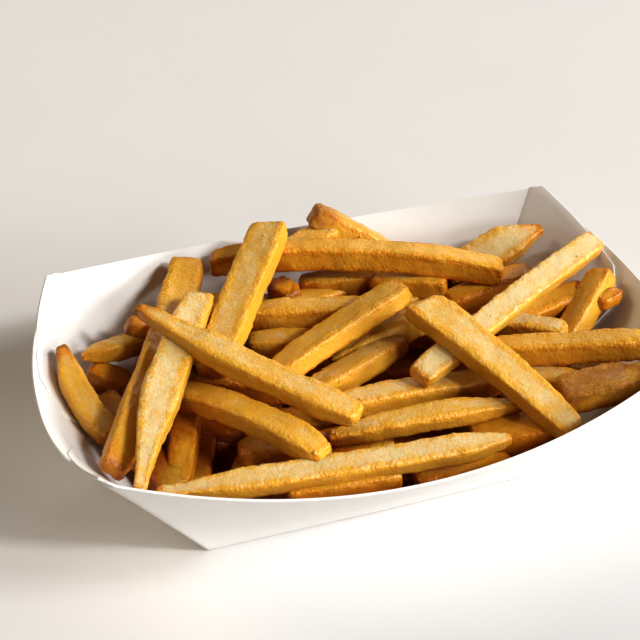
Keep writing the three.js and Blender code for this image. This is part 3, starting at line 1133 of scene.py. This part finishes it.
@dataclass
class FryCutter:
    """Cuts fries from a box, rounds and tapers them, and roughens their crust. Lengths are in millimetres.

    Nose is how long the last bit of each end is, and by which share it narrows. Edge_blend says how far
    out across the section the edges begin and where they are full, and flat_power how much less the
    thickness narrows than the width. Skin is full over the share skin_spare of its reach, and then
    fades out over one reach.
    """

    ring_gap: float = 4.5
    edge_round: float = 1.4
    nose: Pair = (2.0, 0.2)
    end_band: float = 1.5
    edge_blend: Pair = (0.3, 0.8)
    flat_power: float = 0.6
    toast_reach: float = 14.0
    skin_reach: float = 9.0
    skin_spare: float = 0.4
    levels: int = 2
    reliefs: tuple[Relief, ...] = (
        Relief("swell", 12.0, 1.0, 1),
        Relief("lumps", 4.2, 0.3, 2),
        Relief("crisp", 1.5, 0.16, 2, "VORONOI_F1"),
        Relief("nicks", 2.0, 0.45, 3, contrast=2.2, edges_only=True),
    )
    textures: dict[str, bpy.types.Texture] = field(default_factory=dict)

    def cut(self, fry: Fry) -> bpy.types.Object:
        """Makes one fry in its place.

        Args:
            fry: Its sizes and look.

        Returns:
            The finished fry.
        """
        piece = self._box(fry)
        self._mark(piece, fry)
        self._shape(piece, fry)
        Bench.done()
        piece.matrix_world = fry.placement()
        Bench.modify(piece, "SUBSURF", levels=self.levels, render_levels=self.levels)
        for relief in self.reliefs:
            self._roughen(piece, relief)
        Bench.settle(piece)
        piece.vertex_groups.clear()
        return piece

    def _box(self, fry: Fry) -> bpy.types.Object:
        """Makes a straight box with rings along it and rounded edges.

        Args:
            fry: The fry's sizes.

        Returns:
            The box, left open in edit mode.
        """
        Bench.clear()
        bpy.ops.mesh.primitive_cube_add(size=1.0)
        piece = bpy.context.object
        Bench.edit(piece, "EDGE")
        bpy.ops.mesh.select_all(action="SELECT")
        full = (fry.length * MM, max(fry.wide) * MM, fry.thick * MM)
        bpy.ops.transform.resize(value=full)
        bpy.ops.transform.translate(value=(full[0] / 2, 0.0, 0.0))
        Bench.pick(piece, "edges", lambda e: not self._runs_along(e))
        bpy.ops.mesh.subdivide(number_cuts=1)
        Bench.pick(piece, "edges", self._runs_along)
        bpy.ops.mesh.subdivide(number_cuts=max(3, round(fry.length / self.ring_gap)))
        Bench.pick(piece, "edges", lambda e: self._is_arris(e, full))
        bpy.ops.mesh.bevel(offset=self.edge_round * MM, segments=2, profile=0.6, affect="EDGES")
        bpy.ops.mesh.select_mode(type="VERT")
        return piece

    @staticmethod
    def _runs_along(edge: bmesh.types.BMEdge) -> bool:
        """Says whether an edge of the straight box runs along it."""
        return abs(edge.verts[0].co.x - edge.verts[1].co.x) > TINY

    def _is_arris(self, edge: bmesh.types.BMEdge, full: Triple) -> bool:
        """Says whether an edge of the straight box is one of its twelve arrises.

        Args:
            edge: The edge.
            full: The box's length, width and thickness, in metres.

        Returns:
            Whether it is bevelled.
        """
        ends = [v.co for v in edge.verts]
        sides = [all(abs(abs(end[axis]) - full[axis] / 2) < TINY for end in ends) for axis in (1, 2)]
        at_end = all(min(end.x, full[0] - end.x) < TINY for end in ends) and not self._runs_along(edge)
        return all(sides) or (at_end and any(sides))

    def _mark(self, piece: bpy.types.Object, fry: Fry) -> None:
        """Writes the attributes that the crust's finish reads, and the group of points at the edges.

        Args:
            piece: The straight box, open in edit mode.
            fry: The fry's sizes and look.
        """
        mesh = bmesh.from_edit_mesh(piece.data)
        place = mesh.verts.layers.float_vector.new("fry_place")
        look = mesh.verts.layers.float_color.new("fry_look")
        deform = mesh.verts.layers.deform.verify()
        half = Vector((max(fry.wide) / 2 * MM, fry.thick / 2 * MM))
        length = fry.length * MM
        low, high = self.edge_blend
        for vertex in mesh.verts:
            gaps = (vertex.co.x, length - vertex.co.x)
            a, b = vertex.co.y / half.x, vertex.co.z / half.y
            vertex[place] = Vector((min(gaps), a, b))
            toast = max(clamp01(1.0 - gaps[k] / (self.toast_reach * MM)) * fry.toast[k] for k in (0, 1))
            vertex[look] = Vector((fry.tone, toast, self._skin(fry, gaps, b), 1.0))
            at_end = min(gaps) < self.end_band * MM
            corner = max(abs(a), abs(b)) if at_end else min(abs(a), abs(b))
            vertex[deform][0] = clamp01((corner - low) / (high - low))
        bmesh.update_edit_mesh(piece.data)
        if not piece.vertex_groups:
            piece.vertex_groups.new(name="edges")

    def _skin(self, fry: Fry, gaps: Pair, up: float) -> float:
        """Says how much skin a point of a fry carries.

        Args:
            fry: The fry.
            gaps: The point's distances from the fry's two ends, in metres.
            up: Its height over the fry's middle, as a share of half the thickness.

        Returns:
            The skin, from 0 to 1.
        """
        if fry.skin is Skin.NONE:
            return 0.0
        if fry.skin is Skin.SIDE:
            return clamp01(self.skin_spare + up)
        gap = gaps[0 if fry.skin is Skin.START else 1]
        return clamp01(1.0 + self.skin_spare - gap / (self.skin_reach * MM))

    def _shape(self, piece: bpy.types.Object, fry: Fry) -> None:
        """Narrows, bends and slants the straight box, ring by ring.

        Args:
            piece: The box, open in edit mode.
            fry: The fry's sizes.
        """
        mesh = bmesh.from_edit_mesh(piece.data)
        stations = sorted({round(v.co.x / MM, 2) for v in mesh.verts})
        bow = fry.local_bow()
        widest = max(fry.wide)
        for station in stations:
            share = clamp01(station / fry.length)
            shrink = fry.shrink(share)
            width = lerp(fry.wide[0], fry.wide[1], share) / widest * shrink
            nose = 1.0 - self.nose[1] * clamp01(1.0 - min(station, fry.length - station) / self.nose[0])
            arch = 4.0 * share * (1.0 - share)
            middle = (station * MM, 0.0, 0.0)
            Bench.pick(piece, "verts", lambda v, s=station: abs(v.co.x / MM - s) < 0.6 * SNAP)
            size = (1.0, width * nose, shrink**self.flat_power * nose)
            bpy.ops.transform.resize(value=size, center_override=middle)
            slant = fry.cut[0] * clamp01(1.0 - 4.0 * share) + fry.cut[1] * clamp01(4.0 * share - 3.0)
            if slant:
                self._slant(piece, -slant)
            if fry.twist:
                angle = math.radians(fry.twist * share)
                bpy.ops.transform.rotate(value=angle, orient_axis="X", center_override=(0.0, 0.0, 0.0))
            bpy.ops.transform.translate(value=(0.0, bow[0] * arch * MM, bow[1] * arch * MM))

    @staticmethod
    def _slant(piece: bpy.types.Object, slope: float) -> None:
        """Leans the selected ring of points along the fry.

        Args:
            piece: The box, open in edit mode.
            slope: The shift for each millimetre across the fry.
        """
        mesh = bmesh.from_edit_mesh(piece.data)
        for vertex in mesh.verts:
            if vertex.select:
                vertex.co.x += vertex.co.y * slope
        bmesh.update_edit_mesh(piece.data)

    def _roughen(self, piece: bpy.types.Object, relief: Relief) -> None:
        """Lays one layer of relief on a fry.

        Args:
            piece: The fry.
            relief: The layer.
        """
        if relief.name not in self.textures:
            self.textures[relief.name] = relief.texture()
        Bench.modify(
            piece,
            "DISPLACE",
            texture=self.textures[relief.name],
            texture_coords="GLOBAL",
            strength=relief.depth * MM * (-1.0 if relief.edges_only else 1.0),
            mid_level=0.62 if relief.edges_only else 0.5,
            vertex_group="edges" if relief.edges_only else "",
        )


def give_look(piece: bpy.types.Object, look: Colour) -> None:
    """Gives all points of a piece one look, with the attributes that the crust's finish reads.

    Args:
        piece: The piece.
        look: Its tone, toast, skin and painted shade.
    """
    piece.data.attributes.new("fry_place", "FLOAT_VECTOR", "POINT")
    for item in piece.data.attributes.new("fry_look", "FLOAT_COLOR", "POINT").data:
        item.color = look


@dataclass
class FryHeap:
    """The heap of fries: the ones that show, the ones under them, and a solid core in the dark.

    Lengths are in millimetres. A pair of the fries under them is the range of a random draw, but for
    middles and ends, which are how far their middles and ends may lie from the centre along and across
    the tray. Slope, roll and bow are drawn both ways. The core leans outwards with its height.
    """

    tray: PaperTray
    seed: int = 11
    under_count: int = 26
    under_levels: Pair = (17.0, 26.0)
    under_middles: Pair = (55, 32)
    under_ends: Pair = (62, 40)
    under_reach: Pair = (20, 36)
    under_slope: float = 0.12
    under_wide: Pair = (7.5, 9.5)
    under_widening: Pair = (0.9, 1.1)
    under_thick: Pair = (7.5, 9)
    under_roll: float = 20
    under_bow: float = 2
    under_tone: Pair = (0.3, 0.8)
    core_edge: float = 13.0
    core_middle: float = 20.0
    core_lean: Pair = (0.5, 0.4)
    core_gap: float = 2.0
    core_foot: float = 0.4
    core_cuts: int = 40
    core_look: Colour = (0.8, 0.4, 0.0, 1.0)
    core_lumps: Relief = Relief("core_lumps", 9.0, 3.0, 3)
    wall_gap: float = 0.3

    def build(self) -> list[bpy.types.Object]:
        """Makes the heap's pieces and dresses them.

        Returns:
            The finished pieces, from the top down.
        """
        crust = FriedCrust().material()
        fine = FryCutter()
        plain = FryCutter(ring_gap=6.0, textures=fine.textures)
        rough = FryCutter(ring_gap=8.0, levels=1, textures=fine.textures)
        pieces = [
            self._bunch("top_fries", TOP_FRIES, fine),
            self._bunch("middle_fries", MIDDLE_FRIES, fine),
            self._bunch("low_fries", LOW_FRIES, plain),
            self._bunch("under_fries", self._under(), rough),
            self._core(),
        ]
        for piece in pieces:
            piece.data.materials.clear()
            piece.data.materials.append(crust)
            moved = self.tray.keep_inside(piece, self.wall_gap)
            Bench.take(piece)
            bpy.ops.object.shade_smooth()
            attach(piece, "root")
            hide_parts("fries")
            LOG.info("%s: %d faces, %d points pressed in", piece.name, len(piece.data.polygons), moved)
        # Painted shade on the heap's deep and downward-facing points.
        PaintedHeapShade().write(pieces)
        return pieces

    @staticmethod
    def _bunch(name: str, fries: Sequence[Fry], cutter: FryCutter) -> bpy.types.Object:
        """Returns a bunch of fries as one piece."""
        return Bench.join([cutter.cut(fry) for fry in fries], name)

    def _under(self) -> list[Fry]:
        """Draws the fries that lie crosswise under the ones that show, at random but always alike.

        Returns:
            The fries.
        """
        draw = random.Random(self.seed)
        fries = []
        while len(fries) < self.under_count:
            height = draw.uniform(*self.under_levels)
            middle = Vector([*(draw.uniform(-far, far) for far in self.under_middles), height])
            turn = draw.uniform(0, math.pi)
            slope = draw.uniform(-self.under_slope, self.under_slope)
            reach = Vector((math.cos(turn), math.sin(turn), slope)) * draw.uniform(*self.under_reach)
            start, end = middle - reach, middle + reach
            if any(max(abs(start[axis]), abs(end[axis])) > self.under_ends[axis] for axis in (0, 1)):
                continue
            wide = draw.uniform(*self.under_wide)
            wides = (wide, wide * draw.uniform(*self.under_widening))
            thick = draw.uniform(*self.under_thick)
            roll = draw.uniform(-self.under_roll, self.under_roll)
            bow = (draw.uniform(-self.under_bow, self.under_bow), 0)
            tone = draw.uniform(*self.under_tone)
            fries.append(Fry(tuple(start), tuple(end), wides, thick, roll, bow, tone=tone))
        return fries

    def _core(self) -> bpy.types.Object:
        """Makes the solid mass at the bottom of the tray, lumpy on top.

        Returns:
            The core.
        """
        Bench.clear()
        bpy.ops.mesh.primitive_cube_add(size=2.0)
        core = bpy.context.object
        Bench.edit(core, "FACE")
        bpy.ops.mesh.select_all(action="SELECT")
        bpy.ops.mesh.subdivide(number_cuts=self.core_cuts)
        Bench.done()
        for vertex in core.data.vertices:
            x, y, z = vertex.co
            height = lerp(self.core_middle, self.core_edge, max(abs(x), abs(y)) ** 2)
            level = lerp(self.tray.board + self.core_foot, height, (z + 1.0) / 2.0)
            half_x = self.tray.base_length / 2 + level * self.core_lean[0] - self.core_gap
            half_y = self.tray.base_width / 2 + level * self.core_lean[1] - self.core_gap
            vertex.co = Vector((x * half_x, y * half_y, level)) * MM
        give_look(core, self.core_look)
        Bench.modify(
            core,
            "DISPLACE",
            texture=self.core_lumps.texture(),
            texture_coords="GLOBAL",
            strength=self.core_lumps.depth * MM,
            direction="Z",
        )
        core.name = core.data.name = "fry_core"
        return core


@dataclass
class PaintedHeapShade:
    """How far each point of the heap's pieces lies below its top, and how far it faces down.

    Both together are painted shade: the crust is darkened where a point lies deep or faces down.
    """

    cell: float = 2.0
    reach: Pair = (100.0, 70.0)
    blur: int = 4
    free: float = 4.0
    full: float = 16.0
    level_face: float = 0.8
    underside_shade: float = 0.7

    def write(self, pieces: Sequence[bpy.types.Object]) -> None:
        """Writes the two together, from 0 to 1, as painted shade in the alpha of each piece's look.

        Args:
            pieces: The heap's pieces.
        """
        clouds = [Bench.read(piece, "co") / MM for piece in pieces]
        top = self._top(np.concatenate(clouds))
        for piece, points in zip(pieces, clouds):
            sunk = top[self._cells(points)] - points[:, 2]
            below = np.clip((sunk - self.free) / (self.full - self.free), 0.0, 1.0)
            facing = Bench.read(piece, "normal")[:, 2]
            under = np.clip((self.level_face - facing) / (1.0 + self.level_face), 0.0, 1.0)
            look = piece.data.attributes["fry_look"].data
            colours = np.empty(len(points) * 4)
            look.foreach_get("color", colours)
            colours[3::4] = np.clip(below + under * self.underside_shade, 0.0, 1.0)
            look.foreach_set("color", colours)

    def _cells(self, points: np.ndarray) -> tuple[np.ndarray, np.ndarray]:
        """Finds the cell that each point lies in.

        Args:
            points: The points, in millimetres.

        Returns:
            The rows and the columns of their cells.
        """
        x = (points[:, 0] + self.reach[0]) / self.cell
        y = (points[:, 1] + self.reach[1]) / self.cell
        return x.astype(int), y.astype(int)

    def _top(self, points: np.ndarray) -> np.ndarray:
        """Finds the heap's highest level over each cell, evened out.

        Args:
            points: The heap's points, in millimetres.

        Returns:
            The levels, in millimetres.
        """
        shape = [int(2 * reach / self.cell) + 1 for reach in self.reach]
        top = np.zeros(shape)
        np.maximum.at(top, self._cells(points), points[:, 2])
        weight = (top > 0).astype(float)
        total = top * weight
        for axis in (0, 1):
            total = sum(np.roll(total, k, axis) for k in range(-self.blur, self.blur + 1))
            weight = sum(np.roll(weight, k, axis) for k in range(-self.blur, self.blur + 1))
        return total / np.maximum(weight, 1.0)


@dataclass
class Crumbs:
    """Loose crumbs of crust that cling to the fries.

    Sizes are radii in millimetres. The other numbers are shares of a crumb's radius, but for least_up,
    how much a face must look up to hold a crumb.
    """

    hosts: Sequence[bpy.types.Object]
    count: int = 150
    sizes: Pair = (0.2, 0.5)
    uneven: Pair = (0.75, 1.2)
    narrow: Pair = (0.6, 1.0)
    flat: float = 0.6
    stand: float = 0.2
    least_up: float = 0.1
    seed: int = 5

    def build(self) -> bpy.types.Object:
        """Makes the crumbs.

        Returns:
            All crumbs as one piece.
        """
        draw = random.Random(self.seed)
        spots: list[tuple[Vector, Vector]] = []
        for host in self.hosts:
            faces = host.data.polygons
            for _ in range(self.count // len(self.hosts)):
                face = faces[draw.randrange(len(faces))]
                if face.normal.z > self.least_up:
                    spots.append((face.center.copy(), face.normal.copy()))
        crumbs = []
        for place, normal in spots:
            Bench.clear()
            bpy.ops.mesh.primitive_ico_sphere_add(subdivisions=2, radius=1.0)
            crumb = bpy.context.object
            size = draw.uniform(*self.sizes) * MM
            for vertex in crumb.data.vertices:
                vertex.co *= draw.uniform(*self.uneven)
            crumb.matrix_world = (
                Matrix.Translation(place + normal * size * self.stand)
                @ normal.to_track_quat("Z", "Y").to_matrix().to_4x4()
                @ Matrix.Rotation(draw.uniform(0, math.tau), 4, "Z")
                @ Matrix.Diagonal((size, size * draw.uniform(*self.narrow), size * self.flat, 1.0))
            )
            crumbs.append(crumb)
        for crumb in crumbs:
            # The crumbs' last number is a little painted shade.
            give_look(crumb, (draw.uniform(0.2, 0.8), draw.uniform(0.0, 0.3), 0.0, 0.1))
        whole = Bench.join(crumbs, "crumbs")
        Bench.settle(whole)
        bpy.ops.object.shade_smooth()
        whole.data.materials.clear()
        whole.data.materials.append(bpy.data.materials["fried_crust"])
        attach(whole, "root")
        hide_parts("fries")
        return whole


# ------------------------------------------------------------------ studio


@dataclass(frozen=True)
class Lamp:
    """A soft light that looks at the tray. Azimuth 0 stands on +X and turns towards +Y."""

    name: str
    azimuth: float
    elevation: float
    distance: float
    size: Pair
    power: float
    colour: Triple
    lean: float = 0.0

    def place(self, aim: Vector) -> None:
        """Hangs the lamp in its place, turned to what it lights.

        Args:
            aim: The point it lights.
        """
        turn, lift = math.radians(self.azimuth), math.radians(self.elevation)
        towards = Vector((math.cos(turn) * math.cos(lift), math.sin(turn) * math.cos(lift), math.sin(lift)))
        data = bpy.data.lights.new(self.name, "AREA")
        data.shape = "RECTANGLE"
        data.size, data.size_y = self.size
        data.energy = self.power
        data.color = self.colour
        lamp = bpy.data.objects.new(self.name, data)
        lean = Matrix.Rotation(math.radians(self.lean), 4, "Z")
        facing = towards.to_track_quat("Z", "Y").to_matrix().to_4x4()
        lamp.matrix_world = Matrix.Translation(aim + towards * self.distance) @ facing @ lean
        bpy.context.scene.collection.objects.link(lamp)


@dataclass
class Studio:
    """The pale table top, the lights and the camera, in metres but for the lens, which is in millimetres."""

    floor_size: float = 6.0
    floor_gap: float = 0.00005
    lamp_aim: Triple = (0.0, 0.0, 0.02)
    camera_azimuth: float = -16.2
    camera_elevation: float = 36.0
    camera_roll: float = -1.5
    camera_distance: float = 0.440
    camera_aim: Triple = (0.0003, 0.0359, 0.025)
    lens: float = 75.2
    lamps: tuple[Lamp, ...] = (
        Lamp("low_window", -31.0, 17.0, 6.0, (3.4, 1.5), 288.0, (0.985, 0.99, 1.0), 12.0),
        Lamp("high_window", -50.0, 39.0, 6.0, (0.4, 0.9), 160.0, (1.0, 1.0, 1.0), 33.0),
        Lamp("upper_box", -32.0, 38.0, 6.0, (1.0, 1.0), 118.0, (1.0, 1.0, 1.0)),
        Lamp("front_box", -75.0, 20.0, 6.0, (1.5, 1.5), 72.0, (1.0, 0.98, 0.95)),
        Lamp("back_fill", 135.0, 35.0, 6.0, (2.0, 2.0), 112.0, (1.0, 0.79, 0.56)),
        Lamp("right_fill", 58.0, 28.0, 6.0, (2.0, 2.0), 58.0, (1.0, 1.0, 1.0)),
    )
    sky: Colour = (1.0, 0.86, 0.69, 1.0)
    sky_strength: float = 0.065

    def build(self) -> None:
        """Sets up the table top, the lights and the camera."""
        self._floor()
        for lamp in self.lamps:
            lamp.place(Vector(self.lamp_aim))
        self._sky()
        self._camera()

    def _floor(self) -> None:
        """Lays the table top just under the tray."""
        Bench.clear()
        bpy.ops.mesh.primitive_grid_add(x_subdivisions=8, y_subdivisions=8, size=self.floor_size)
        floor = bpy.context.object
        floor.location.z = -self.floor_gap
        floor.name = "table_top"
        Bench.settle(floor)
        floor.data.materials.append(PaleTop().material())

    def _sky(self) -> None:
        """Fills the room with plain soft light."""
        world = bpy.data.worlds.new("room")
        world.use_nodes = True
        back = world.node_tree.nodes["Background"]
        back.inputs["Color"].default_value = self.sky
        back.inputs["Strength"].default_value = self.sky_strength
        bpy.context.scene.world = world

    def _camera(self) -> None:
        """Stands the camera at its angle and makes it the scene's own."""
        turn, lift = math.radians(self.camera_azimuth), math.radians(self.camera_elevation)
        back = Vector((math.sin(turn) * math.cos(lift), -math.cos(turn) * math.cos(lift), math.sin(lift)))
        right = (-back).cross(Vector((0.0, 0.0, 1.0))).normalized()
        up = right.cross(-back)
        roll = math.radians(self.camera_roll)
        right, up = right * math.cos(roll) + up * math.sin(roll), up * math.cos(roll) - right * math.sin(roll)
        data = bpy.data.cameras.new("view")
        data.lens = self.lens
        data.sensor_width = 36.0
        data.clip_start = 0.01
        camera = bpy.data.objects.new("view", data)
        axes = Matrix((right, up, back)).transposed().to_4x4()
        camera.matrix_world = Matrix.Translation(Vector(self.camera_aim) + back * self.camera_distance) @ axes
        bpy.context.scene.collection.objects.link(camera)
        bpy.context.scene.camera = camera


def main() -> None:
    """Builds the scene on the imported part."""
    logging.basicConfig(level=logging.INFO, format="%(message)s")
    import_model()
    view = bpy.context.scene.view_settings
    view.view_transform = "Standard"
    view.gamma = 0.8
    Studio().build()
    tray = PaperTray()
    sheet = tray.build()
    LOG.info("%s: %d faces", sheet.name, len(sheet.data.polygons))
    heap = FryHeap(tray).build()
    crumbs = Crumbs(heap[:2]).build()
    LOG.info("%s: %d faces", crumbs.name, len(crumbs.data.polygons))


if __name__ == "__main__":
    main()
